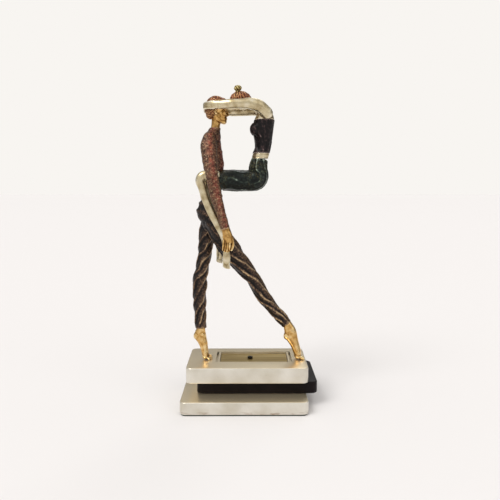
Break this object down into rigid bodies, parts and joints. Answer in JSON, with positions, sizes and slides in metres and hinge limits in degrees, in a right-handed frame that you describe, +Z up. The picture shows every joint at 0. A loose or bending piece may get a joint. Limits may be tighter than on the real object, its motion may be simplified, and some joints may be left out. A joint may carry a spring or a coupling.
{
  "type": "figurine",
  "caption": "Slender dancing couple in patinated metal, one lifted round the other's waist, on a plinth of three offset slabs with a sunk tray.",
  "frame": {"origin": "centre of the underside of the felt under the lowest slab", "axes": "+X the way the standing dancer faces, +Y away from the viewed side, +Z up"},
  "size_m": [0.1519, 0.1164, 0.3596],
  "materials": {
    "silver_patina": "silvered and waxed cast bronze",
    "brown_patina": "near-black brown patina on cast bronze",
    "gold_patina": "polished golden bronze",
    "red_brown_patina": "mottled red-brown patina on cast bronze",
    "green_patina": "green-black patina on cast bronze",
    "bronze_panel": "brown bronze plate, satin",
    "steel": "plain zinc-plated steel",
    "dark_steel": "blackened steel",
    "felt": "dark green wool felt"
  },
  "bodies": {
    "root": {"felt_pad": "felt", "plinth_bottom_tier": "silver_patina", "plinth_middle_tier": "brown_patina", "plinth_top_tier": "silver_patina", "tray_frame": "silver_patina", "tray_panel": "bronze_panel", "clamp_screw": "dark_steel", "clamp_washer": "steel", "clamp_nut": "steel", "man_pelvis": "brown_patina", "man_front_leg": "brown_patina", "man_rear_leg": "brown_patina", "man_front_foot": "gold_patina", "man_rear_foot": "gold_patina", "man_torso": "red_brown_patina", "man_near_sleeve": "red_brown_patina", "man_near_hand": "gold_patina", "man_far_sleeve": "red_brown_patina", "man_far_hand": "gold_patina", "man_head": "gold_patina", "man_hair": "red_brown_patina", "front_foot_stud": "steel", "front_foot_washer": "steel", "front_foot_nut": "steel", "rear_foot_stud": "steel", "rear_foot_washer": "steel", "rear_foot_nut": "steel", "woman_skirt": "green_patina", "woman_belt": "silver_patina", "woman_bodice": "brown_patina", "woman_shoulders": "silver_patina", "woman_near_arm": "silver_patina", "woman_far_arm": "silver_patina", "woman_head": "silver_patina", "woman_hair": "red_brown_patina", "woman_hair_bun": "red_brown_patina", "woman_near_leg": "silver_patina", "woman_far_leg": "silver_patina"}
  },
  "joints": []
}
